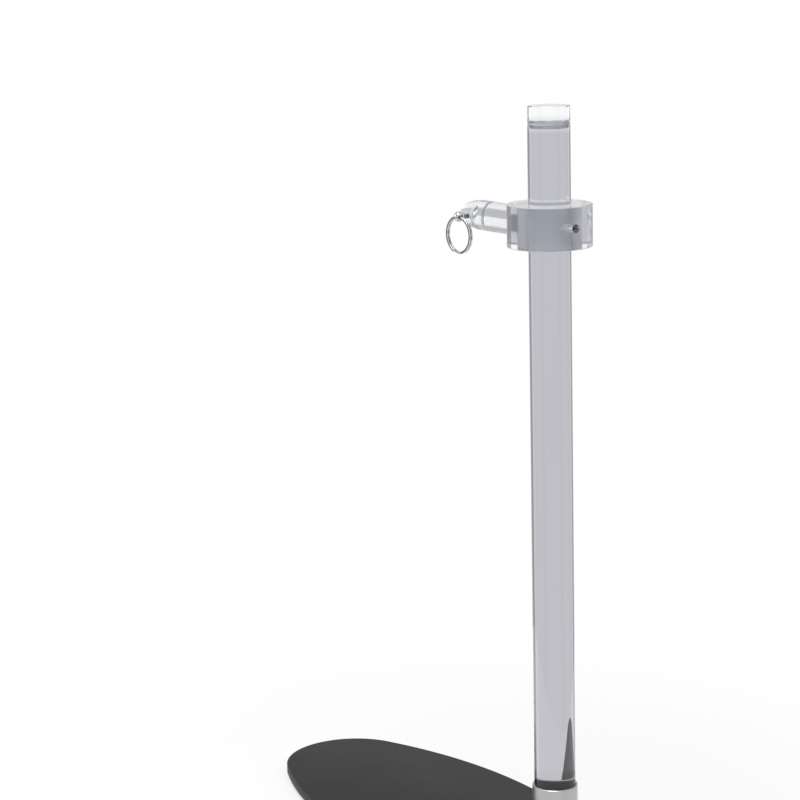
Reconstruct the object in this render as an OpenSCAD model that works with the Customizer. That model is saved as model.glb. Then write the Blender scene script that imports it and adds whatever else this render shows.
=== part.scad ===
// Display stand: oval base, clear post, sliding collar with an arm, an eye and a split ring.
// Millimetres. The origin is on the floor below the middle of the base.
// The post stands at +X and the arm points to -X.

/* [Base] */
// Length of the oval base
base_len = 366; // [320:1:440]
// Width of the oval base
base_w = 162; // [135:1:200]
// Radius of the arcs at the two ends of the oval
base_end_r = 54; // [42:1:60]
// Thickness of the base plate
base_t = 8; // [6:0.5:12]
// Radius of the rounded upper edge of the base plate
base_edge_r = 1.2; // [0.5:0.1:2.5]
// Distance from the near end of the base to the axis of the post
post_edge = 32; // [30:1:60]

/* [Feet] */
// Diameter of a rubber foot where it sits in the base
foot_d = 18; // [14:0.5:24]
// Diameter of a rubber foot where it meets the floor
foot_floor_d = 16; // [12:0.5:22]
// Height of the base plate above the floor
foot_show = 2.5; // [2:0.1:5]
// Depth of the round pocket that a foot sits in
foot_pocket = 2; // [1:0.1:3]
// Distance of the feet from the ends of the base
foot_from_end = 71; // [50:1:100]
// Distance of the feet from the long sides of the base
foot_from_side = 41; // [38:1:55]
// Diameter of the foot screws
foot_screw_d = 4; // [3:0.5:5]

/* [Sleeve] */
// Wall of the metal sleeve round the foot of the post
sleeve_wall = 1.5; // [1:0.1:3]
// Height of the sleeve
sleeve_h = 63; // [40:1:90]
// Chamfer on the sleeve's ends
sleeve_chamfer = 0.4; // [0.2:0.1:0.6]

/* [Post] */
// Diameter of the post
post_d = 30; // [25:0.5:40]
// Length of post and cap that shows above the sleeve
post_show = 493; // [400:1:600]
// Thickness of the cap on the post
cap_t = 12; // [8:0.5:20]
// Chamfer on the ends of the clear pieces
clear_chamfer = 0.5; // [0.2:0.1:1]
// Chamfer on the two edges that meet at the joint between post and cap
joint_chamfer = 0.8; // [0.3:0.1:1.2]
// Diameter of the spigot that centres the cap in the post
spigot_d = 22; // [16:0.5:26]
// Length of the spigot
spigot_h = 3.5; // [2:0.5:6]
// Diameter of the screw that holds the post
post_screw_d = 8; // [6:1:10]
// Length of the screw that is inside the post
post_screw_grip = 20; // [12:1:30]

/* [Collar] */
// Outer diameter of the collar
collar_d = 60; // [50:1:80]
// Height of the collar
collar_h = 30; // [24:1:45]
// Distance of the middle of the collar below the top of the post
collar_drop = 83; // [30:1:300]
// Diameter of the grub screw
grub_d = 6; // [4:1:8]
// Length of the grub screw
grub_len = 11; // [8:0.5:13]

/* [Arm] */
// Diameter of the arm
arm_d = 22; // [16:0.5:24]
// Distance from the axis of the post to the joint between arm and nose
arm_reach = 77.5; // [50:0.5:120]
// Depth of the pocket in the collar, on the arm's axis
arm_pocket = 5; // [3:0.5:8]
// Length of the nose
nose_len = 27; // [18:0.5:40]

/* [Eye and ring] */
// Distance of the eye stud from the joint between arm and nose
eye_back = 6; // [5:0.5:12]
// Distance from the axis of the arm to the middle of the eye
eye_reach = 18.9; // [17:0.1:24]
// Diameter of the eye's round head
eye_d = 7.6; // [7:0.2:10]
// Width of the eye's head between its two flat sides
eye_w = 4.4; // [4.2:0.2:6]
// Diameter of the cross hole in the eye
eye_hole_d = 4.4; // [4.2:0.1:5]
// Diameter of the eye stud's shank
eye_shank_d = 4; // [3:0.5:4]
// Length of the shank inside the nose
eye_grip = 12; // [8:0.5:15]
// Outer diameter of the split ring
ring_d = 28; // [22:1:36]
// Thickness of the ring's flat wire, measured along the ring's radius
ring_wire_t = 1.9; // [1.4:0.1:2]
// Width of one turn of the ring's flat wire
ring_wire_w = 1.1; // [0.9:0.05:1.2]
// Gap between the two turns of the ring
ring_gap = 0.45; // [0.42:0.01:0.6]
// How far the ring hangs askew in the eye, in degrees
ring_askew = 4; // [0:0.5:5]

/* [Hidden] */
$fn = 96;
tiny = 0.01;

// Clearances
running = 0.05;
glue_line = 0.15;
screw_clear = 0.2;

// Heights
base_top = foot_show + base_t;
sleeve_top = base_top + sleeve_h;
post_top = sleeve_top + post_show;
cap_bottom = post_top - cap_t;
collar_mid = post_top - collar_drop;

// Places along the length
post_x = base_len / 2 - post_edge;
joint_x = post_x - arm_reach;

// Oval of four arcs: the flanks meet the end arcs with no corner
end_x = base_len / 2 - base_end_r;
flank_r = (end_x * end_x + pow(base_w / 2, 2) - pow(base_end_r, 2)) / (base_w - 2 * base_end_r);
flank_y = flank_r - base_w / 2;
flank_angle = atan2(end_x, flank_y);
flank_short = 2;
flank_x = flank_r * sin(flank_angle) - flank_short;
edge_steps = 4;

// Feet
foot_h = foot_show + foot_pocket;
foot_x = base_len / 2 - foot_from_end;
foot_y = base_w / 2 - foot_from_side;
foot_places = [[foot_x, foot_y], [-foot_x, foot_y], [-foot_x, -foot_y], [foot_x, -foot_y]];
washer_t = 0.8;
washer_d = 2.1 * foot_screw_d;
foot_head_d = 1.8 * foot_screw_d;
foot_head_h = 0.5 * foot_screw_d;
foot_bore_d = washer_d + 2 * screw_clear;
foot_seat = 0.9;
foot_screw_cover = 2;
foot_screw_spare = 0.5;
foot_screw_grip = base_t - foot_pocket - foot_screw_cover;

// Hexagon sockets, measured across their corners
foot_hex_d = 0.7 * foot_screw_d;
post_hex_d = 0.7 * post_screw_d;
grub_hex_d = 0.58 * grub_d;

// Post screw and its brass insert
head_d = 2 * post_screw_d;
head_h = (head_d - post_screw_d) / 2;
insert_d = 1.5 * post_screw_d;
insert_spare = 2;
insert_depth = post_screw_grip + insert_spare;

// Grub screw: its tip stays just off the post
grub_tip = post_d / 2 + running + screw_clear;
grub_point_h = 1;
grub_hex_depth = grub_d / 2;

// Eye stud: it is screwed into the side of the nose, at the height of the arm's axis
eye_x = joint_x - eye_back;
nose_r_at_eye = arm_d / 2 * sqrt(1 - pow(eye_back / nose_len, 2));
shank_end = eye_grip - nose_r_at_eye;
neck_angle = asin(eye_shank_d / eye_d);
shank_spare = 1;
nose_steps = 24;
eye_steps = 16;

// Split ring: it hangs with its wire a little below the middle of the eye's hole
ring_r = (ring_d - ring_wire_t) / 2;
ring_sag = ring_r - sqrt(ring_r * ring_r - eye_w * eye_w / 4);
ring_settle = 0.25;
ring_drop = ring_r - ring_sag / 2 + ring_settle;
ring_step = ring_wire_w + ring_gap;
ring_cross = 40;
ring_open = 24;
ring_steps = 150;
wire_chamfer = 0.25;

function arc_points(cx, cy, r, from, to, steps) =
    [for (i = [0:steps]) let (a = from + (to - from) * i / steps) [cx + r * cos(a), cy + r * sin(a)]];

// A rod along +Z with its lower and its upper end chamfered
module rod(d, h, low, high) {
    rotate_extrude()
        polygon([[0, 0], [d / 2 - low, 0], [d / 2, low], [d / 2, h - high], [d / 2 - high, h], [0, h]]);
}

// A hexagon socket that opens at z = 0 and goes down
module hex_socket(d, depth) {
    translate([0, 0, -depth])
        cylinder(d = d, h = depth + tiny, $fn = 6);
}

// A round plate with the rounded upper edge of the base
module plate_disc(r) {
    rotate_extrude()
        polygon(concat([[0, 0], [r, 0]],
                       arc_points(r - base_edge_r, base_t - base_edge_r, base_edge_r, 0, 90, edge_steps),
                       [[0, base_t]]));
}

// The two flanks of the oval, cut off just before they meet the end arcs
module plate_middle() {
    intersection() {
        translate([0, -flank_y, 0])
            plate_disc(flank_r, $fn = 360);
        translate([0, flank_y, 0])
            plate_disc(flank_r, $fn = 360);
        translate([-flank_x, -base_w, -base_t])
            cube([2 * flank_x, 2 * base_w, 3 * base_t]);
    }
}

module base_plate() {
    color("#3b3b3c")
    translate([0, 0, foot_show])
    difference() {
        union() {
            plate_middle();
            for (side = [-1, 1])
                translate([side * end_x, 0, 0])
                    plate_disc(base_end_r);
        }
        for (p = foot_places) {
            translate([p[0], p[1], -tiny])
                cylinder(d = foot_d + 2 * screw_clear, h = foot_pocket + tiny);
            translate([p[0], p[1], 0])
                cylinder(d = foot_screw_d + 2 * running,
                         h = foot_pocket + foot_screw_grip + foot_screw_spare);
        }
        translate([post_x, 0, -tiny])
            cylinder(d = post_screw_d + 2 * screw_clear, h = base_t + 2 * tiny);
        translate([post_x, 0, -tiny])
            cylinder(d1 = head_d + 2 * screw_clear, d2 = post_screw_d + 2 * screw_clear,
                     h = head_h + screw_clear);
    }
}

// A rubber foot, bored from below for its washer and screw
module foot(i) {
    color("#202022")
    translate([foot_places[i][0], foot_places[i][1], 0])
    difference() {
        union() {
            cylinder(d1 = foot_floor_d, d2 = foot_d, h = foot_show);
            translate([0, 0, foot_show])
                cylinder(d = foot_d, h = foot_pocket);
        }
        translate([0, 0, -tiny])
            cylinder(d = foot_bore_d, h = foot_h - foot_seat + tiny);
        translate([0, 0, -tiny])
            cylinder(d = foot_screw_d + 2 * screw_clear, h = foot_h + 2 * tiny);
    }
}

module foot_1() { foot(0); }
module foot_2() { foot(1); }
module foot_3() { foot(2); }
module foot_4() { foot(3); }

module foot_washers() {
    color("#b9bcc0")
    for (p = foot_places)
        translate([p[0], p[1], foot_h - foot_seat - washer_t])
            difference() {
                cylinder(d = washer_d, h = washer_t);
                translate([0, 0, -tiny])
                    cylinder(d = foot_screw_d + 2 * running, h = washer_t + 2 * tiny);
            }
}

module foot_screws() {
    color("#9a9da2")
    for (p = foot_places)
        translate([p[0], p[1], foot_h - foot_seat - washer_t])
            difference() {
                union() {
                    translate([0, 0, -foot_head_h])
                        cylinder(d = foot_head_d, h = foot_head_h);
                    cylinder(d = foot_screw_d, h = washer_t + foot_seat + foot_screw_grip);
                }
                translate([0, 0, -foot_head_h])
                    mirror([0, 0, 1])
                        hex_socket(foot_hex_d, foot_head_h * 0.6);
            }
}

module sleeve() {
    bore_r = post_d / 2 + running;
    out_r = post_d / 2 + sleeve_wall;
    color("#b4b6b9")
    translate([post_x, 0, base_top])
    rotate_extrude()
        polygon([[bore_r, 0], [out_r - sleeve_chamfer, 0], [out_r, sleeve_chamfer],
                 [out_r, sleeve_h - sleeve_chamfer], [out_r - sleeve_chamfer, sleeve_h],
                 [bore_r + sleeve_chamfer, sleeve_h], [bore_r, sleeve_h - sleeve_chamfer]]);
}

// Countersunk screw, its head flush with the underside of the base
module post_screw() {
    color("#9a9da2")
    translate([post_x, 0, foot_show])
    difference() {
        union() {
            cylinder(d1 = head_d, d2 = post_screw_d, h = head_h);
            cylinder(d = post_screw_d, h = base_t + post_screw_grip);
        }
        mirror([0, 0, 1])
            hex_socket(post_hex_d, head_h * 0.7);
    }
}

module post_insert() {
    color("#c2a35c")
    translate([post_x, 0, base_top])
    difference() {
        cylinder(d = insert_d, h = insert_depth);
        translate([0, 0, -tiny])
            cylinder(d = post_screw_d + 2 * running, h = insert_depth + 2 * tiny);
    }
}

module post() {
    color("#dfe3e8")
    translate([post_x, 0, base_top])
    difference() {
        rod(post_d, cap_bottom - base_top, clear_chamfer, joint_chamfer);
        translate([0, 0, -tiny])
            cylinder(d = insert_d + 2 * running, h = insert_depth + tiny);
        translate([0, 0, cap_bottom - base_top - spigot_h])
            cylinder(d = spigot_d + 2 * running, h = 2 * spigot_h);
    }
}

module post_cap() {
    r = post_d / 2;
    h = cap_t - glue_line;
    color("#dfe3e8")
    translate([post_x, 0, cap_bottom + glue_line])
    rotate_extrude()
        polygon([[0, -spigot_h], [spigot_d / 2, -spigot_h], [spigot_d / 2, 0], [r - joint_chamfer, 0],
                 [r, joint_chamfer], [r, h - clear_chamfer], [r - clear_chamfer, h], [0, h]]);
}

module collar() {
    color("#ccd3dc")
    translate([post_x, 0, collar_mid])
    difference() {
        translate([0, 0, -collar_h / 2])
            rod(collar_d, collar_h, clear_chamfer, clear_chamfer);
        translate([0, 0, -collar_h])
            cylinder(d = post_d + 2 * running, h = 2 * collar_h);
        rotate([0, -90, 0])
            translate([0, 0, collar_d / 2 - arm_pocket])
                cylinder(d = arm_d + 2 * running, h = collar_d);
        rotate([0, 90, 0])
            cylinder(d = grub_d + 2 * running, h = collar_d);
    }
}

// Socket grub screw with a flat-tipped point
module collar_grub_screw() {
    color("#8f9296")
    translate([post_x + grub_tip, 0, collar_mid])
    rotate([0, 90, 0])
    difference() {
        union() {
            cylinder(d1 = grub_d - 2 * grub_point_h, d2 = grub_d, h = grub_point_h);
            translate([0, 0, grub_point_h])
                cylinder(d = grub_d, h = grub_len - grub_point_h);
        }
        translate([0, 0, grub_len])
            hex_socket(grub_hex_d, grub_hex_depth);
    }
}

module arm() {
    color("#d6dce4")
    translate([post_x - collar_d / 2 + arm_pocket, 0, collar_mid])
    rotate([0, -90, 0])
        rod(arm_d, arm_reach - collar_d / 2 + arm_pocket, clear_chamfer, clear_chamfer);
}

// Half an ellipse turned about the arm's axis
module arm_nose() {
    color("#d6dce4")
    difference() {
        translate([joint_x - glue_line, 0, collar_mid])
            rotate([0, -90, 0])
                rotate_extrude()
                    polygon(concat([[0, 0], [arm_d / 2 - clear_chamfer, 0]],
                                   [for (i = [1:nose_steps - 1]) let (a = 90 * i / nose_steps)
                                       [arm_d / 2 * cos(a), (nose_len - glue_line) * sin(a)]],
                                   [[0, nose_len - glue_line]]));
        translate([eye_x, -arm_d, collar_mid])
            rotate([-90, 0, 0])
                cylinder(d = eye_shank_d + 2 * running, h = arm_d + shank_end + shank_spare);
    }
}

// Turned in one piece, then milled flat on two sides and drilled across
module eye_stud() {
    color("#c9ccd0")
    translate([eye_x, 0, collar_mid])
    rotate([90, 0, 0])
    difference() {
        rotate_extrude()
            polygon(concat([[0, -shank_end], [eye_shank_d / 2, -shank_end]],
                           [for (i = [0:eye_steps])
                               let (a = neck_angle + (180 - neck_angle) * i / eye_steps)
                               [eye_d / 2 * sin(a), eye_reach - eye_d / 2 * cos(a)]]));
        for (side = [-1, 1])
            translate([side * (eye_w + eye_d) / 2, 0, eye_reach])
                cube([eye_d, 2 * eye_d, 2 * eye_d], center = true);
        translate([0, 0, eye_reach])
            rotate([0, 90, 0])
                cylinder(d = eye_hole_d, h = 2 * eye_d, center = true);
    }
}

// Centre line of the ring's wire: two flat turns joined by a short crossing at the bottom
ring_from = ring_open;
ring_to = 720 - ring_open;
function ease(t) = t * t * (3 - 2 * t);
function ring_side(a) =
    ring_step * (ease(min(1, max(0, (a - 360 + ring_cross / 2) / ring_cross))) - 0.5);
function ring_angle(i) = ring_from + (ring_to - ring_from) * i / ring_steps;
// Corners of the wire's section, as steps along the radius and across the ring
wire_section =
    let (t = ring_wire_t / 2, w = ring_wire_w / 2, c = wire_chamfer)
    [[t, w - c], [t - c, w], [c - t, w], [-t, w - c], [-t, c - w], [c - t, -w], [t - c, -w], [t, c - w]];
wire_sides = len(wire_section);
ring_points =
    [for (i = [0:ring_steps]) let (a = ring_angle(i), s = ring_side(a))
        for (p = wire_section) [s + p[1], (ring_r + p[0]) * sin(a), -(ring_r + p[0]) * cos(a)]];
ring_sides_faces =
    [for (i = [0:ring_steps - 1], j = [0:wire_sides - 1])
        let (k = (j + 1) % wire_sides, a = i * wire_sides, b = a + wire_sides)
        each [[a + j, b + j, b + k], [a + j, b + k, a + k]]];
ring_ends =
    [for (j = [1:wire_sides - 2])
        each [[0, j, j + 1],
              [ring_steps * wire_sides, ring_steps * wire_sides + j + 1, ring_steps * wire_sides + j]]];
// Least gap between the two turns, measured between points at least half a turn apart along the wire
ring_least_gap =
    min([for (i = [0:ring_steps], j = [i + 1:1:ring_steps])
        if (ring_angle(j) - ring_angle(i) > 180)
            let (d = ring_side(ring_angle(j)) - ring_side(ring_angle(i)),
                 turn = ring_angle(j) - ring_angle(i) - 360,
                 along = 2 * ring_r * abs(sin(turn / 2)))
            max(abs(d) - ring_wire_w, along - ring_wire_w)]);
echo(ring_least_gap = ring_least_gap);

module split_ring() {
    color("#b7babe")
    translate([eye_x, -eye_reach, collar_mid - ring_drop])
    rotate([0, 0, ring_askew - 90])
        polyhedron(ring_points, concat(ring_sides_faces, ring_ends));
}

base_plate();
foot_1();
foot_2();
foot_3();
foot_4();
foot_washers();
foot_screws();
sleeve();
post_screw();
post_insert();
post();
post_cap();
collar();
collar_grub_screw();
arm();
arm_nose();
eye_stud();
split_ring();
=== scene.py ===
"""Looks of a display stand: coated oval base, clear post, sliding collar with arm, eye and split ring."""
from math import asin, atan2, cos, pi, radians, sin, sqrt

import bmesh
import bpy
from mathutils import Matrix, Vector


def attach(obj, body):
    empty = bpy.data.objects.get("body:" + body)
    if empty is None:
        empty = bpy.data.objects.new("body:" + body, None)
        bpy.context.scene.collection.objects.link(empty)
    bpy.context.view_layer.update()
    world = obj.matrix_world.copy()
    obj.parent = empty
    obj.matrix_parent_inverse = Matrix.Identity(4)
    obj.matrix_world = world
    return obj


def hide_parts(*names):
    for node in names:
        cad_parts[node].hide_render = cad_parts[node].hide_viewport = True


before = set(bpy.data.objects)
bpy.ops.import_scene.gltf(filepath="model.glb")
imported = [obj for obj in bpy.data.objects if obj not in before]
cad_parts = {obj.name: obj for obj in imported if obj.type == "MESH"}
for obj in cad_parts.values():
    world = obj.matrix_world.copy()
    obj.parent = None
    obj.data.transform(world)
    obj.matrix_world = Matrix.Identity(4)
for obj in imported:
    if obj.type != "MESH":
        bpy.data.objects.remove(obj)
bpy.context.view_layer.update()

MM = 0.001

# Sizes in millimetres, the same as the CAD model's
BASE_LEN, BASE_W, BASE_END_R, BASE_T, BASE_EDGE_R = 366, 162, 54, 8, 1.2
FOOT_SHOW, FOOT_POCKET, FOOT_POCKET_D, FOOT_SCREW_BORE, FOOT_SCREW_DEPTH = 2.5, 2, 18.4, 4.1, 6.5
FOOT_X, FOOT_Y = 112, 40
POST_X, POST_D, POST_TOP, CAP_T = 151, 30, 566.5, 12
BASE_TOP, SLEEVE_TOP, SLEEVE_D, SLEEVE_BORE, SLEEVE_CHAMFER = 10.5, 73.5, 33, 30.1, 0.4
INSERT_BORE, INSERT_DEPTH = 12.1, 22
SCREW_HOLE, SCREW_HEAD, SCREW_HEAD_H = 8.4, 16.4, 4.2
COLLAR_D, COLLAR_H, COLLAR_Z, COLLAR_BORE = 60, 30, 483.5, 30.1
ARM_D, ARM_FROM, ARM_TO, NOSE_LEN = 22, 126, 73.5, 27
GRUB_D, GRUB_LEN, GRUB_FROM, GRUB_BORE, GRUB_HEX = 6, 11, 166.25, 6.1, 3.48
EYE_X, EYE_REACH, EYE_D, EYE_W, EYE_HOLE = 67.5, 18.9, 7.6, 4.4, 4.4
SHANK_D, SHANK_END = 4, 1.275
RING_R, RING_DROP, RING_STEP, RING_T, RING_WIRE_W, RING_ASKEW = 13.05, 13.207, 1.55, 1.9, 1.1, 4
RING_OPEN, RING_CROSS = 24, 40
CLEAR_CHAMFER, JOINT_CHAMFER, GLUE, SPIGOT_D, SPIGOT_H, RUNNING = 0.5, 0.8, 0.15, 22, 3.5, 0.05

# Details in millimetres that only the looks have: small edges, threads, and the cement's haze on the nose
BASE_LOWER_EDGE_R, EYE_EDGE_R, WIRE_EDGE_R = 0.3, 0.25, 0.3
GRUB_PITCH, GRUB_POINT_R, GRUB_RIM_R, GRUB_SOCKET = 1, 2, 2.6, 3
SHANK_PITCH, SHANK_TIP_R, SHANK_SUNK = 0.7, 1.5, 0.3
JOINT_HAZE = 3.5

# Turns that lay a shape made along Z along another axis
TO_LEFT = Matrix.Rotation(-pi / 2, 4, "Y")
TO_RIGHT = Matrix.Rotation(pi / 2, 4, "Y")
TO_FRONT = Matrix.Rotation(pi / 2, 4, "X")


def linear(code):
    """A linear colour from an sRGB hex code."""
    part = [int(code[i:i + 2], 16) / 255 for i in (1, 3, 5)]
    return tuple(c / 12.92 if c <= 0.04045 else ((c + 0.055) / 1.055) ** 2.4 for c in part) + (1.0,)


def add(tree, kind, values=None, links=None, stops=None, **settings):
    """Adds one node with its settings, socket values, incoming links and colour stops."""
    made = tree.nodes.new(kind)
    for name, value in settings.items():
        setattr(made, name, value)
    for name, value in (values or {}).items():
        made.inputs[name].default_value = value
    for name, source in (links or {}).items():
        tree.links.new(source, made.inputs[name])
    for i, (place, level) in enumerate(stops or ()):
        band = made.color_ramp.elements
        stop = band[i] if i < len(band) else band.new(place)
        stop.position = place
        stop.color = level if isinstance(level, tuple) else (level, level, level, 1)
    return made


def material(name):
    made = bpy.data.materials.new(name)
    made.use_nodes = True
    made.node_tree.nodes.clear()
    return made, made.node_tree


# Materials

def powder_coat():
    """Baked black powder coat: a fine orange-peel skin that scatters light, so no sharp reflection is left."""
    made, tree = material("Black powder coat")
    place = add(tree, "ShaderNodeTexCoord").outputs["Object"]
    # The skin's grain is about 0.5 mm; it is drawn at 1.2 mm so that it shows
    grain = add(tree, "ShaderNodeTexNoise", {"Scale": 1 / 0.0012, "Detail": 3, "Roughness": 0.6},
                {"Vector": place})
    # Slow changes of thickness, about 60 mm across
    cloud = add(tree, "ShaderNodeTexNoise", {"Scale": 1 / 0.06, "Detail": 2}, {"Vector": place})
    bump = add(tree, "ShaderNodeBump", {"Strength": 0.22, "Distance": 0.0002}, {"Height": grain.outputs["Fac"]})
    colour = add(tree, "ShaderNodeValToRGB", links={"Fac": cloud.outputs["Fac"]},
                 stops=[(0.3, linear("#1d1d1e")), (0.7, linear("#262627"))])
    rough = add(tree, "ShaderNodeValToRGB", links={"Fac": grain.outputs["Fac"]},
                stops=[(0.3, 0.52), (0.7, 0.64)])
    shader = add(tree, "ShaderNodeBsdfPrincipled", {"Specular IOR Level": 0.32},
                 {"Base Color": colour.outputs["Color"], "Roughness": rough.outputs["Color"],
                  "Normal": bump.outputs["Normal"]})
    add(tree, "ShaderNodeOutputMaterial", links={"Surface": shader.outputs["BSDF"]})
    return made


def clear_acrylic(name, stretch, haze):
    """Acrylic: clear with a faint blue-grey; its lines bend what shows through, and haze blurs it."""
    made, tree = material(name)
    place = add(tree, "ShaderNodeTexCoord").outputs["Object"]
    lines = add(tree, "ShaderNodeMapping", {"Scale": stretch}, {"Vector": place})
    lines = add(tree, "ShaderNodeTexNoise", {"Scale": 1, "Detail": 2}, {"Vector": lines.outputs["Vector"]})
    bump = add(tree, "ShaderNodeBump", {"Strength": 0.1, "Distance": 0.00004}, {"Height": lines.outputs["Fac"]})
    shader = add(tree, "ShaderNodeBsdfPrincipled",
                 {"Base Color": linear("#fbfcfd"), "Roughness": haze, "IOR": 1.49, "Transmission Weight": 1},
                 {"Normal": bump.outputs["Normal"]})
    inside = add(tree, "ShaderNodeVolumeAbsorption", {"Color": linear("#e5e9ee"), "Density": 5})
    add(tree, "ShaderNodeOutputMaterial",
        links={"Surface": shader.outputs["BSDF"], "Volume": inside.outputs["Volume"]})
    return made


def frosted_acrylic():
    """Bored or faced acrylic left as the tool cut it: fine rings scatter the light to a milky blue-grey."""
    made, tree = material("Machined frosted acrylic")
    place = add(tree, "ShaderNodeTexCoord").outputs["Object"]
    # Tool marks about 0.3 mm apart
    marks = add(tree, "ShaderNodeTexNoise", {"Scale": 1 / 0.0003, "Detail": 2}, {"Vector": place})
    rough = add(tree, "ShaderNodeValToRGB", links={"Fac": marks.outputs["Fac"]},
                stops=[(0.3, 0.45), (0.7, 0.6)])
    shader = add(tree, "ShaderNodeBsdfPrincipled",
                 {"Base Color": linear("#e0e4ed"), "IOR": 1.49, "Transmission Weight": 0.6},
                 {"Roughness": rough.outputs["Color"]})
    add(tree, "ShaderNodeOutputMaterial", links={"Surface": shader.outputs["BSDF"]})
    return made


def cement():
    """Solvent cement between two acrylic faces: it fills the joint, so light goes straight through."""
    made, tree = material("Cemented acrylic joint")
    place = add(tree, "ShaderNodeTexCoord").outputs["Object"]
    # Faint flow marks about 3 mm across
    flow = add(tree, "ShaderNodeTexNoise", {"Scale": 1 / 0.003, "Detail": 2}, {"Vector": place})
    rough = add(tree, "ShaderNodeValToRGB", links={"Fac": flow.outputs["Fac"]}, stops=[(0.3, 0.0), (0.7, 0.03)])
    shader = add(tree, "ShaderNodeBsdfPrincipled",
                 {"Base Color": linear("#fdfeff"), "IOR": 1.0, "Transmission Weight": 1},
                 {"Roughness": rough.outputs["Color"]})
    add(tree, "ShaderNodeOutputMaterial", links={"Surface": shader.outputs["BSDF"]})
    return made


def satin_aluminium():
    """Turned aluminium tube, satin anodised: fine rings round it draw the light out along its height."""
    made, tree = material("Satin anodised aluminium")
    place = add(tree, "ShaderNodeTexCoord").outputs["Object"]
    # Turning marks 0.15 mm apart, drawn 0.6 mm apart so that they show
    squash = add(tree, "ShaderNodeMapping", {"Scale": (20, 20, 1 / 0.0006)}, {"Vector": place})
    rings = add(tree, "ShaderNodeTexNoise", {"Scale": 1, "Detail": 2}, {"Vector": squash.outputs["Vector"]})
    bump = add(tree, "ShaderNodeBump", {"Strength": 0.08, "Distance": 0.0001}, {"Height": rings.outputs["Fac"]})
    rough = add(tree, "ShaderNodeValToRGB", links={"Fac": rings.outputs["Fac"]},
                stops=[(0.3, 0.3), (0.7, 0.38)])
    shader = add(tree, "ShaderNodeBsdfPrincipled", {"Base Color": linear("#b8b9bb"), "Metallic": 1},
                 {"Roughness": rough.outputs["Color"], "Normal": bump.outputs["Normal"]})
    add(tree, "ShaderNodeOutputMaterial", links={"Surface": shader.outputs["BSDF"]})
    return made


def metal(name, colour, low, high, grain_mm):
    """A plated or machined metal: its roughness changes from place to place in fine patches."""
    made, tree = material(name)
    place = add(tree, "ShaderNodeTexCoord").outputs["Object"]
    patch = add(tree, "ShaderNodeTexNoise", {"Scale": 1000 / grain_mm, "Detail": 3}, {"Vector": place})
    rough = add(tree, "ShaderNodeValToRGB", links={"Fac": patch.outputs["Fac"]},
                stops=[(0.3, low), (0.7, high)])
    bump = add(tree, "ShaderNodeBump", {"Strength": 0.04, "Distance": 0.00005},
               {"Height": patch.outputs["Fac"]})
    shader = add(tree, "ShaderNodeBsdfPrincipled", {"Base Color": linear(colour), "Metallic": 1},
                 {"Roughness": rough.outputs["Color"], "Normal": bump.outputs["Normal"]})
    add(tree, "ShaderNodeOutputMaterial", links={"Surface": shader.outputs["BSDF"]})
    return made


def moulded_rubber():
    """Moulded black rubber: matte, with the fine bloom of a spark-eroded mould."""
    made, tree = material("Moulded black rubber")
    place = add(tree, "ShaderNodeTexCoord").outputs["Object"]
    bloom = add(tree, "ShaderNodeTexNoise", {"Scale": 1 / 0.0006, "Detail": 2}, {"Vector": place})
    bump = add(tree, "ShaderNodeBump", {"Strength": 0.2, "Distance": 0.0001}, {"Height": bloom.outputs["Fac"]})
    colour = add(tree, "ShaderNodeValToRGB", links={"Fac": bloom.outputs["Fac"]},
                 stops=[(0.3, linear("#1c1c1d")), (0.7, linear("#262627"))])
    shader = add(tree, "ShaderNodeBsdfPrincipled", {"Roughness": 0.8, "Specular IOR Level": 0.3},
                 {"Base Color": colour.outputs["Color"], "Normal": bump.outputs["Normal"]})
    add(tree, "ShaderNodeOutputMaterial", links={"Surface": shader.outputs["BSDF"]})
    return made


COAT = powder_coat()
# Draw lines run along a rod, about 2 mm apart and 200 mm long; on turned pieces they run round it
CLEAR_POST = clear_acrylic("Clear acrylic rod, upright", (500, 500, 5), 0.004)
CLEAR_ARM = clear_acrylic("Clear acrylic rod, lying", (5, 500, 500), 0.004)
CLEAR_TURNED = clear_acrylic("Clear turned acrylic", (30, 30, 700), 0.1)
FROSTED = frosted_acrylic()
CEMENT = cement()
ALUMINIUM = satin_aluminium()
NICKEL = metal("Bright nickel plate", "#d3d4d6", 0.08, 0.16, 1.5)
ZINC = metal("Zinc plated steel", "#a9adb2", 0.28, 0.4, 0.8)
STEEL = metal("Plain machined steel", "#a4a6a9", 0.26, 0.38, 0.6)
BRASS = metal("Turned brass", "#c2a05a", 0.25, 0.35, 0.8)
RUBBER = moulded_rubber()


# Mesh tools

def turned(points, steps=160, closed=False):
    """A shape of revolution about Z from a profile of radius and height, in millimetres."""
    bm = bmesh.new()
    verts = [bm.verts.new((r * MM, 0, z * MM)) for r, z in points]
    pairs = list(zip(verts, verts[1:])) + ([(verts[-1], verts[0])] if closed else [])
    edges = [bm.edges.new(pair) for pair in pairs]
    bmesh.ops.spin(bm, geom=verts + edges, cent=(0, 0, 0), axis=(0, 0, 1), angle=2 * pi, steps=steps,
                   use_merge=True)
    bmesh.ops.remove_doubles(bm, verts=bm.verts, dist=1e-7)
    bmesh.ops.recalc_face_normals(bm, faces=bm.faces)
    return bm


def rod(d, length, low=0, high=0, steps=192):
    """A rod that stands on z = 0, its lower and upper ends chamfered."""
    r = d / 2
    return turned([(0, 0), (r - low, 0), (r, low), (r, length - high), (r - high, length), (0, length)], steps)


def lay(bm, turn, x, y, z):
    """Turns a shape that was made along Z and puts its foot at a place."""
    bmesh.ops.transform(bm, verts=bm.verts, matrix=Matrix.Translation((x * MM, y * MM, z * MM)) @ turn)
    return bm


def shift(bm, x, y, z):
    bmesh.ops.translate(bm, verts=bm.verts, vec=(x * MM, y * MM, z * MM))
    return bm


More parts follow.
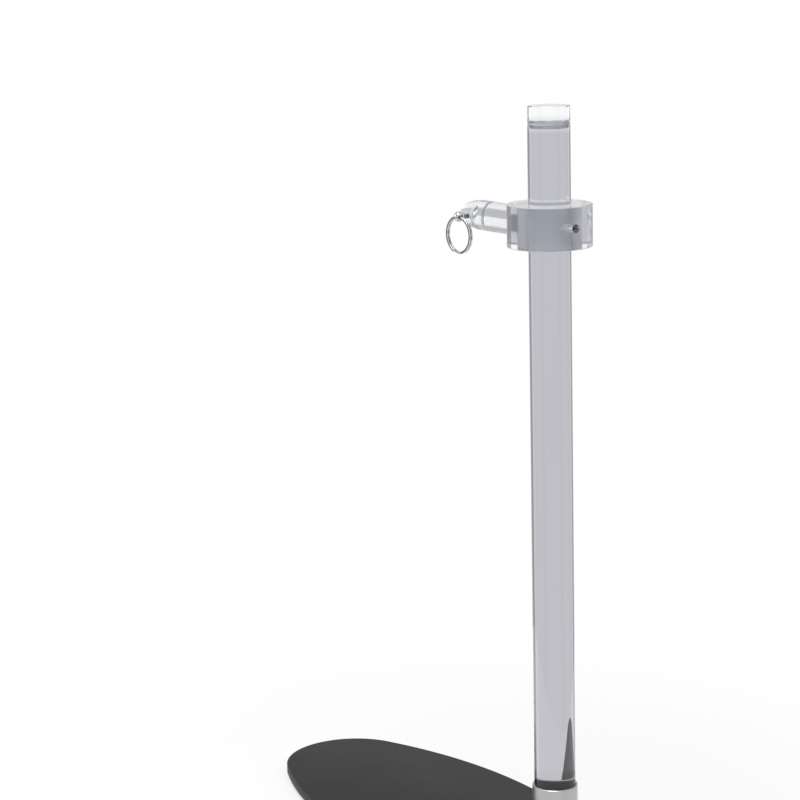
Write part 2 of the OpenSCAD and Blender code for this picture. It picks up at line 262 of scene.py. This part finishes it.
def loose_object(bm, name):
    mesh = bpy.data.meshes.new(name)
    bm.to_mesh(mesh)
    bm.free()
    made = bpy.data.objects.new(name, mesh)
    bpy.context.scene.collection.objects.link(made)
    return made


def cut(bm, *cutters):
    """Takes the cutters out of a shape."""
    work = loose_object(bm, "work")
    tools = [loose_object(c, "cutter") for c in cutters]
    for tool in tools:
        modifier = work.modifiers.new("Cut", "BOOLEAN")
        modifier.operation, modifier.solver, modifier.object = "DIFFERENCE", "EXACT", tool
    graph = bpy.context.evaluated_depsgraph_get()
    mesh = bpy.data.meshes.new_from_object(work.evaluated_get(graph))
    made = bmesh.new()
    made.from_mesh(mesh)
    for gone in [work] + tools:
        data = gone.data
        bpy.data.objects.remove(gone)
        bpy.data.meshes.remove(data)
    bpy.data.meshes.remove(mesh)
    bmesh.ops.remove_doubles(made, verts=made.verts, dist=1e-7)
    bmesh.ops.dissolve_degenerate(made, edges=made.edges, dist=1e-7)
    return made


def show(bm, name, body, node, slot, *materials, pick=None, sharp=28):
    """Makes a finished piece that stands for one CAD node; pick gives the place of a face's material."""
    bm.normal_update()
    for face in bm.faces:
        face.smooth = True
        face.material_index = pick(face) if pick else 0
    for edge in bm.edges:
        edge.smooth = len(edge.link_faces) == 2 and edge.calc_face_angle() < radians(sharp)
    made = loose_object(bm, name)
    for finish in materials:
        made.data.materials.append(finish)
    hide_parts(node)
    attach(made, body)


# Base plate: four arcs, raised to the plate's thickness, its upper edge rounded

def base_plate():
    end_x = BASE_LEN / 2 - BASE_END_R
    flank_r = (end_x ** 2 + (BASE_W / 2) ** 2 - BASE_END_R ** 2) / (BASE_W - 2 * BASE_END_R)
    flank_y = flank_r - BASE_W / 2
    flank_angle = atan2(end_x, flank_y)
    bm = bmesh.new()
    corner_x, corner_y = end_x + BASE_END_R * sin(flank_angle), -BASE_END_R * cos(flank_angle)
    geom = [bm.verts.new((corner_x * MM, corner_y * MM, 0))]
    for cx, cy, turn in ((end_x, 0, pi - 2 * flank_angle), (0, -flank_y, 2 * flank_angle),
                         (-end_x, 0, pi - 2 * flank_angle), (0, flank_y, 2 * flank_angle)):
        geom = bmesh.ops.spin(bm, geom=geom, cent=(cx * MM, cy * MM, 0), axis=(0, 0, 1), angle=turn,
                              steps=72)["geom_last"]
    bmesh.ops.remove_doubles(bm, verts=bm.verts, dist=1e-6)
    bmesh.ops.contextual_create(bm, geom=bm.edges[:])
    raised = bmesh.ops.extrude_face_region(bm, geom=bm.faces[:], use_keep_orig=True)["geom"]
    top = [v for v in raised if isinstance(v, bmesh.types.BMVert)]
    bmesh.ops.translate(bm, verts=top, vec=(0, 0, BASE_T * MM))
    bmesh.ops.recalc_face_normals(bm, faces=bm.faces)
    rims = ((BASE_T * MM, BASE_EDGE_R, 5), (0, BASE_LOWER_EDGE_R, 2))
    for height, radius, segments in rims:
        rim = [e for e in bm.edges if all(abs(v.co.z - height) < 1e-7 for v in e.verts)]
        bmesh.ops.bevel(bm, geom=rim, offset=radius * MM, affect="EDGES", segments=segments, profile=0.5,
                        material=-1)
    wide, narrow = FOOT_POCKET_D / 2, FOOT_SCREW_BORE / 2
    pocket = [(0, -1), (wide, -1), (wide, FOOT_POCKET), (narrow, FOOT_POCKET), (narrow, FOOT_SCREW_DEPTH),
              (0, FOOT_SCREW_DEPTH)]
    hole = [(0, -1), (SCREW_HEAD / 2 + 1, -1), (SCREW_HOLE / 2, SCREW_HEAD_H), (SCREW_HOLE / 2, BASE_T + 1),
            (0, BASE_T + 1)]
    cutters = [shift(turned(pocket, 64), x, y, 0) for x in (-FOOT_X, FOOT_X) for y in (-FOOT_Y, FOOT_Y)]
    bm = cut(bm, shift(turned(hole, 64), POST_X, 0, 0), *cutters)
    show(shift(bm, 0, 0, FOOT_SHOW), "base_plate_coated", "base", "base_plate", "black_coat", COAT)


# Sleeve: a turned tube, chamfered inside and out

def sleeve():
    out, bore, c = SLEEVE_D / 2, SLEEVE_BORE / 2, SLEEVE_CHAMFER
    height = SLEEVE_TOP - BASE_TOP
    tube = turned([(bore, 0), (out - c, 0), (out, c), (out, height - c), (out - c, height), (bore + c, height),
                   (bore, height - c)], 160, closed=True)
    show(shift(tube, POST_X, 0, BASE_TOP), "sleeve_satin", "base", "sleeve", "satin_aluminium", ALUMINIUM)


# Post and cap: polished rod, bored for the spigot that centres the cap

def post_and_cap():
    cap_bottom, r, h = POST_TOP - CAP_T, POST_D / 2, CAP_T - GLUE
    length = cap_bottom - BASE_TOP
    foot_bore = shift(rod(INSERT_BORE, INSERT_DEPTH + 1, steps=64), 0, 0, -1)
    top_bore = shift(rod(SPIGOT_D + 2 * RUNNING, 2 * SPIGOT_H, steps=128), 0, 0, length - SPIGOT_H)
    post = cut(rod(POST_D, length, CLEAR_CHAMFER, JOINT_CHAMFER), foot_bore, top_bore)
    show(shift(post, POST_X, 0, BASE_TOP), "post_clear", "post", "post", "clear_acrylic", CLEAR_POST, FROSTED,
         pick=inside_post)
    cap = turned([(0, -SPIGOT_H), (SPIGOT_D / 2, -SPIGOT_H), (SPIGOT_D / 2, 0), (r - JOINT_CHAMFER, 0),
                  (r, JOINT_CHAMFER), (r, h - CLEAR_CHAMFER), (r - CLEAR_CHAMFER, h), (0, h)], 192)
    show(shift(cap, POST_X, 0, cap_bottom + GLUE), "post_cap_clear", "post", "post_cap", "clear_acrylic",
         CLEAR_POST, FROSTED, pick=joint_chamfer)


def sloped(face):
    return 0.3 < abs(face.normal.z) < 0.9


def joint_chamfer(face):
    """Frosted on the two chamfers where the cap meets the post."""
    near = abs(face.calc_center_median().z - (POST_TOP - CAP_T) * MM) < (JOINT_CHAMFER + GLUE) * MM
    return int(near and sloped(face))


def inside_post(face):
    """Frosted where the post is bored and on its upper chamfer; its skin is polished."""
    middle = face.calc_center_median()
    bored = Vector((middle.x - POST_X * MM, middle.y)).length < (SPIGOT_D / 2 + 0.2) * MM
    return int(bored or joint_chamfer(face))


# Collar: turned ring, bored for the post, with a pocket for the arm and a hole for the grub screw

def collar():
    out, bore, c, h = COLLAR_D / 2, COLLAR_BORE / 2, CLEAR_CHAMFER, COLLAR_H
    ring = turned([(bore, 0), (out - c, 0), (out, c), (out, h - c), (out - c, h), (bore, h)], 192, closed=True)
    ring = shift(ring, POST_X, 0, COLLAR_Z - h / 2)
    pocket = lay(rod(ARM_D + 2 * RUNNING, COLLAR_D, steps=128), TO_LEFT, ARM_FROM, 0, COLLAR_Z)
    hole = lay(rod(GRUB_BORE, COLLAR_D, steps=64), TO_RIGHT, POST_X, 0, COLLAR_Z)
    show(cut(ring, pocket, hole), "collar_clear", "collar", "collar", "clear_acrylic", CLEAR_TURNED, FROSTED,
         pick=inside_collar)


def inside_collar(face):
    """Frosted in the post's bore, in the arm's pocket and on the chamfers."""
    middle = face.calc_center_median() - Vector((POST_X * MM, 0, COLLAR_Z * MM))
    if Vector((middle.x, middle.y)).length < (COLLAR_BORE / 2 + 0.1) * MM and abs(face.normal.z) < 0.5:
        return 1
    arm_wall = abs(Vector((middle.y, middle.z)).length - ARM_D / 2 * MM) < 0.2 * MM and abs(face.normal.x) < 0.1
    arm_end = abs(middle.x - (ARM_FROM - POST_X) * MM) < 1e-5
    chamfer = abs(middle.z) > (COLLAR_H / 2 - CLEAR_CHAMFER) * MM and sloped(face)
    return int(chamfer or middle.x < 0 and (arm_wall or arm_end))


# Arm and nose

def arm():
    foot = ARM_FROM - RUNNING
    bar = lay(rod(ARM_D, foot - ARM_TO, CLEAR_CHAMFER, CLEAR_CHAMFER), TO_LEFT, foot, 0, COLLAR_Z)
    edge = bmesh.ops.bisect_plane(bar, geom=bar.verts[:] + bar.edges[:] + bar.faces[:], plane_no=(1, 0, 0),
                                  plane_co=((POST_X - COLLAR_D / 2) * MM, 0, 0))["geom_cut"]
    # The frosted part begins where the rod goes through the collar's round side
    for v in (g for g in edge if isinstance(g, bmesh.types.BMVert)):
        v.co.x = POST_X * MM - sqrt((COLLAR_D / 2 * MM) ** 2 - v.co.y ** 2)
    show(bar, "arm_clear", "collar", "arm", "clear_acrylic", CLEAR_ARM, FROSTED, CEMENT, pick=along_arm)


def along_arm(face):
    """Cemented at the nose, frosted inside the collar, polished between."""
    if face.normal.x < -0.9:
        return 2
    return int(face.calc_center_median().x > (POST_X - COLLAR_D / 2) * MM)


def nose():
    steps, length = 48, NOSE_LEN - GLUE
    dome = [(ARM_D / 2 * cos(pi / 2 * i / steps), length * sin(pi / 2 * i / steps)) for i in range(1, steps)]
    bullet = lay(turned([(0, 0), (ARM_D / 2 - CLEAR_CHAMFER, 0)] + dome + [(0, length)], 192),
                 TO_LEFT, ARM_TO - GLUE, 0, COLLAR_Z)
    bore = lay(rod(SHANK_D + 2 * RUNNING, ARM_D, steps=64), TO_FRONT, EYE_X, SHANK_END + 1, COLLAR_Z)
    show(cut(bullet, bore), "arm_nose_clear", "collar", "arm_nose", "clear_acrylic", CLEAR_ARM, FROSTED, CEMENT,
         pick=along_nose)


def along_nose(face):
    """Cemented at the arm, with a band of haze beside the joint, polished to the tip."""
    if face.normal.x > 0.9:
        return 2
    return int(face.calc_center_median().x > (ARM_TO - JOINT_HAZE) * MM)


# Threads: a toothed profile that climbs one pitch in one turn, so its teeth join into a helix

def thread(d, pitch, length, start_r, end_r, steps=64):
    depth = 0.6 * pitch
    r, turns = d / 2, int(length / pitch) - 1
    points = []
    for i in range(turns):
        z = i * pitch
        points += [(r - depth, z), (r - depth, z + 0.15 * pitch), (r, z + 0.5 * pitch), (r, z + 0.65 * pitch)]
    points.append((r - depth, turns * pitch))
    bm = bmesh.new()
    verts = [bm.verts.new((x * MM, 0, z * MM)) for x, z in points]
    edges = [bm.edges.new(pair) for pair in zip(verts, verts[1:])]
    bmesh.ops.spin(bm, geom=verts + edges, cent=(0, 0, 0), axis=(0, 0, 1), dvec=(0, 0, pitch * MM / steps),
                   angle=2 * pi, steps=steps)
    bmesh.ops.remove_doubles(bm, verts=bm.verts, dist=1e-6)
    spare = (length - (turns + 1) * pitch) / 2
    shift(bm, 0, 0, spare)
    middle = length * MM / 2
    for height, radius in ((0, start_r), (length, end_r)):
        rim = [e for e in bm.edges if len(e.link_faces) == 1
               and all((v.co.z < middle) == (height == 0) for v in e.verts)]
        for target in (radius, 0):
            grown = bmesh.ops.extrude_edge_only(bm, edges=rim)["geom"]
            rim = [g for g in grown if isinstance(g, bmesh.types.BMEdge) and len(g.link_faces) == 1]
            for v in {v for e in rim for v in e.verts}:
                flat = Vector((v.co.x, v.co.y, 0))
                flat = flat.normalized() * target * MM if flat.length else flat
                v.co = (flat.x, flat.y, height * MM)
    bmesh.ops.remove_doubles(bm, verts=bm.verts, dist=1e-6)
    bmesh.ops.dissolve_degenerate(bm, edges=bm.edges, dist=1e-7)
    bmesh.ops.recalc_face_normals(bm, faces=bm.faces)
    return bm


def grub_screw():
    screw = thread(GRUB_D, GRUB_PITCH, GRUB_LEN, GRUB_POINT_R, GRUB_RIM_R)
    screw = lay(screw, TO_RIGHT, GRUB_FROM, 0, COLLAR_Z)
    socket = lay(rod(GRUB_HEX, GRUB_D, steps=6), TO_RIGHT, GRUB_FROM + GRUB_LEN - GRUB_SOCKET, 0, COLLAR_Z)
    show(cut(screw, socket), "grub_screw_threaded", "grub_screw", "collar_grub_screw", "plain_steel", STEEL)


# Eye stud: turned head, milled flat on two sides, drilled across, on a threaded shank

def eye_stud():
    steps, head = 40, EYE_D / 2
    neck = asin(SHANK_D / EYE_D)
    foot = EYE_REACH - head * cos(neck)
    angles = [neck + (pi - neck) * i / steps for i in range(steps)]
    ball = [(head * sin(a), EYE_REACH - head * cos(a)) for a in angles]
    body = turned([(0, foot)] + ball + [(0, EYE_REACH + head)], 96)
    flats = []
    for side in (-1, 1):
        block = bmesh.new()
        bmesh.ops.create_cube(block, size=2 * EYE_D * MM)
        flats.append(shift(block, side * (EYE_W / 2 + EYE_D), 0, EYE_REACH))
    drill = lay(rod(EYE_HOLE, 3 * EYE_W, steps=64), TO_RIGHT, -1.5 * EYE_W, 0, EYE_REACH)
    body = cut(body, *flats, drill)
    rims = [e for e in body.edges if len(e.link_faces) == 2 and e.calc_face_angle() > radians(35)
            and max(v.co.z for v in e.verts) > (foot + 0.1) * MM]
    bmesh.ops.bevel(body, geom=rims, offset=EYE_EDGE_R * MM, affect="EDGES", segments=3, profile=0.5,
                    material=-1, clamp_overlap=True)
    show(lay(body, TO_FRONT, EYE_X, 0, COLLAR_Z), "eye_stud_head", "collar", "eye_stud", "bright_steel", NICKEL,
         sharp=40)
    shank = thread(SHANK_D, SHANK_PITCH, foot + SHANK_END + SHANK_SUNK, SHANK_TIP_R, SHANK_TIP_R)
    show(lay(shank, TO_FRONT, EYE_X, SHANK_END, COLLAR_Z), "eye_stud_thread", "collar", "eye_stud",
         "bright_steel", STEEL)


# Split ring: two flat turns of wire with one crossing at the bottom

def ease(t):
    t = min(1, max(0, t))
    return t * t * (3 - 2 * t)


def split_ring():
    pitch = 2
    bm = bmesh.new()
    bmesh.ops.create_grid(bm, x_segments=1, y_segments=1, size=0.5)
    bmesh.ops.scale(bm, verts=bm.verts, vec=(RING_WIRE_W * MM, RING_T * MM, 1))
    bmesh.ops.bevel(bm, geom=bm.verts[:], offset=WIRE_EDGE_R * MM, affect="VERTICES", segments=4, profile=0.5,
                    material=-1)
    bmesh.ops.delete(bm, geom=bm.faces[:], context="FACES_ONLY")
    start = Matrix.Translation((-RING_STEP / 2 * MM, 0, -RING_R * MM)) @ Matrix.Rotation(pi / 2, 4, "X")
    bmesh.ops.transform(bm, verts=bm.verts, matrix=Matrix.Rotation(radians(RING_OPEN), 4, "X") @ start)
    geom = bm.verts[:] + bm.edges[:]
    runs = [(360 - RING_CROSS / 2 - RING_OPEN, int((360 - RING_CROSS / 2 - RING_OPEN) / pitch), 0)]
    crossing = int(RING_CROSS / pitch)
    runs += [(pitch, 1, RING_STEP * (ease((i + 1) / crossing) - ease(i / crossing))) for i in range(crossing)]
    runs.append(runs[0])
    for turn, steps, across in runs:
        geom = bmesh.ops.spin(bm, geom=geom, cent=(0, 0, 0), axis=(1, 0, 0), dvec=(across * MM, 0, 0),
                              angle=radians(turn), steps=steps)["geom_last"]
    bmesh.ops.remove_doubles(bm, verts=bm.verts, dist=1e-7)
    bmesh.ops.holes_fill(bm, edges=[e for e in bm.edges if len(e.link_faces) == 1])
    bmesh.ops.recalc_face_normals(bm, faces=bm.faces)
    hang = Matrix.Rotation(radians(RING_ASKEW - 90), 4, "Z")
    show(lay(bm, hang, EYE_X, -EYE_REACH, COLLAR_Z - RING_DROP), "split_ring_wire", "ring", "split_ring",
         "bright_steel", NICKEL, sharp=40)


base_plate()
sleeve()
post_and_cap()
collar()
arm()
nose()
grub_screw()
eye_stud()
split_ring()

FINISHES = {"foot_1": RUBBER, "foot_2": RUBBER, "foot_3": RUBBER, "foot_4": RUBBER, "foot_washers": ZINC,
            "foot_screws": ZINC, "post_screw": ZINC, "post_insert": BRASS}
for node, finish in FINISHES.items():
    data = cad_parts[node].data
    data.materials.clear()
    data.materials.append(finish)


# Camera, fitted to the photograph from the post's axis; the arm points 127 degrees round from the right

def camera():
    yaw, pitch, roll, turn = -0.0648, 0.1964, -0.0222, radians(53)
    ahead = Vector((sin(yaw) * cos(pitch), cos(yaw) * cos(pitch), -sin(pitch)))
    right = Vector((cos(yaw), -sin(yaw), 0))
    up = right.cross(ahead)
    right, up = cos(roll) * right + sin(roll) * up, -sin(roll) * right + cos(roll) * up
    to_part = Matrix.Translation((POST_X * MM, 0, SLEEVE_TOP * MM)) @ Matrix.Rotation(turn, 4, "Z")
    axes = Matrix((right, up, -ahead)).transposed().to_4x4()
    data = bpy.data.cameras.new("camera")
    sensor, focal_pixels, image_pixels = 36, 2377.75, 800
    data.sensor_width, data.lens = sensor, sensor * focal_pixels / image_pixels
    made = bpy.data.objects.new("camera", data)
    bpy.context.scene.collection.objects.link(made)
    away, above = 1.6526, 0.61605
    made.matrix_world = to_part @ Matrix.Translation((0, -away, above)) @ axes
    bpy.context.scene.camera = made
    return (to_part.to_3x3() @ ahead).normalized()


AHEAD = camera()
TABLE = linear("#c5c3c9")


# Studio: a white floor and room; clear and bright pieces also show a grey table and soft gaps beside it

def floor():
    made, tree = material("White floor")
    place = add(tree, "ShaderNodeTexCoord").outputs["Object"]
    far = add(tree, "ShaderNodeVectorMath", links={0: place}, operation="LENGTH").outputs["Value"]
    fade = add(tree, "ShaderNodeMapRange", {"From Min": 0.22, "From Max": 0.45, "To Min": 0.55}, {"Value": far})
    path = add(tree, "ShaderNodeLightPath").outputs
    seen = add(tree, "ShaderNodeMath", links={0: path["Is Camera Ray"], 1: path["Is Glossy Ray"]},
               operation="MAXIMUM").outputs[0]
    share = add(tree, "ShaderNodeMath", links={0: fade.outputs["Result"], 1: seen},
                operation="MULTIPLY").outputs[0]
    plain = add(tree, "ShaderNodeBsdfDiffuse", {"Color": linear("#f2f2f2")}).outputs["BSDF"]
    white = add(tree, "ShaderNodeEmission", {"Color": (1, 1, 1, 1), "Strength": 1}).outputs["Emission"]
    mixed = add(tree, "ShaderNodeMixShader", links={"Fac": share, 1: plain, 2: white}).outputs["Shader"]
    # Open to what is seen through clear pieces, and from below
    below = add(tree, "ShaderNodeNewGeometry").outputs["Backfacing"]
    through = add(tree, "ShaderNodeMath", links={0: path["Is Transmission Ray"], 1: below}, operation="MAXIMUM")
    open_way = add(tree, "ShaderNodeBsdfTransparent").outputs["BSDF"]
    mixed = add(tree, "ShaderNodeMixShader", links={"Fac": through.outputs[0], 1: mixed, 2: open_way})
    add(tree, "ShaderNodeOutputMaterial", links={"Surface": mixed.outputs["Shader"]})
    bm = bmesh.new()
    bmesh.ops.create_circle(bm, cap_ends=True, segments=96, radius=0.5)
    disc = loose_object(bm, "floor")
    disc.data.materials.append(made)


def room():
    world = bpy.data.worlds.new("room")
    bpy.context.scene.world = world
    world.use_nodes = True
    tree = world.node_tree
    tree.nodes.clear()
    way = add(tree, "ShaderNodeTexCoord").outputs["Generated"]
    level = Vector((AHEAD.x, AHEAD.y, 0)).normalized()
    flat = add(tree, "ShaderNodeVectorMath", {1: (1, 1, 0)}, {0: way}, operation="MULTIPLY").outputs["Vector"]
    flat = add(tree, "ShaderNodeVectorMath", links={0: flat}, operation="NORMALIZE").outputs["Vector"]
    along = add(tree, "ShaderNodeVectorMath", {1: level}, {0: flat}, operation="DOT_PRODUCT").outputs["Value"]
    along = add(tree, "ShaderNodeMapRange", {"From Min": -1, "From Max": 1}, {"Value": along}).outputs["Result"]
    # From behind the camera round to straight ahead: panel, gap, panel, soft gap, bright edge, table
    round_it = add(tree, "ShaderNodeValToRGB", links={"Fac": along}, stops=[
        (0.0, 0.85), (0.1, 0.85), (0.14, 0.2), (0.2, 0.2), (0.25, 0.8), (0.55, 0.8), (0.59, 0.25), (0.75, 0.25),
        (0.79, 0.82), (0.84, 0.82), (0.88, 0.74), (1.0, 0.74)])
    height = add(tree, "ShaderNodeSeparateXYZ", links={0: way}).outputs["Z"]
    height = add(tree, "ShaderNodeMapRange", {"From Min": -1, "From Max": 1},
                 {"Value": height}).outputs["Result"]
    # From below: shade, white floor, table up to 4.6 degrees below the horizon, wall, gap, lit strip, ceiling
    upward = add(tree, "ShaderNodeValToRGB", links={"Fac": height}, stops=[
        (0.0, 0.3), (0.1, 0.3), (0.16, 1.0), (0.28, 1.0), (0.31, TABLE), (0.4585, TABLE), (0.4605, 1.0),
        (0.62, 1.0), (0.7, 0.4), (0.82, 0.4), (0.86, 1.0), (0.9, 1.0), (0.94, 0.3), (1.0, 0.3)])
    pattern = add(tree, "ShaderNodeVectorMath", operation="MULTIPLY",
                  links={0: round_it.outputs["Color"], 1: upward.outputs["Color"]}).outputs["Vector"]
    path = add(tree, "ShaderNodeLightPath").outputs
    bent = add(tree, "ShaderNodeMath", links={0: path["Is Glossy Ray"], 1: path["Is Transmission Ray"]},
               operation="MAXIMUM").outputs[0]
    soft = add(tree, "ShaderNodeBackground", {"Color": (1, 1, 1, 1), "Strength": 0.5}).outputs["Background"]
    seen = add(tree, "ShaderNodeBackground", {"Strength": 1.35}, {"Color": pattern}).outputs["Background"]
    white = add(tree, "ShaderNodeBackground", {"Color": (1, 1, 1, 1), "Strength": 1}).outputs["Background"]
    mixed = add(tree, "ShaderNodeMixShader", links={"Fac": bent, 1: soft, 2: seen}).outputs["Shader"]
    mixed = add(tree, "ShaderNodeMixShader", links={"Fac": path["Is Camera Ray"], 1: mixed, 2: white})
    add(tree, "ShaderNodeOutputWorld", links={"Surface": mixed.outputs["Shader"]})


def lamp(name, place, aim, size, power):
    data = bpy.data.lights.new(name, "AREA")
    data.shape, data.size, data.energy = "DISK", size, power
    made = bpy.data.objects.new(name, data)
    bpy.context.scene.collection.objects.link(made)
    made.location = place
    # Lights the pieces, but leaves no bright streak inside the clear ones
    made.visible_transmission = False
    made.rotation_euler = (Vector(aim) - Vector(place)).to_track_quat("-Z", "Y").to_euler()


floor()
room()
lamp("overhead panel", (0.3, -0.5, 2.2), (0.0, 0.0, 0.2), 1.4, 28)
lamp("side panel", (-0.9, -1.5, 1.2), (0.1, 0.0, 0.3), 0.8, 10)

bpy.context.scene.view_settings.view_transform = "Standard"
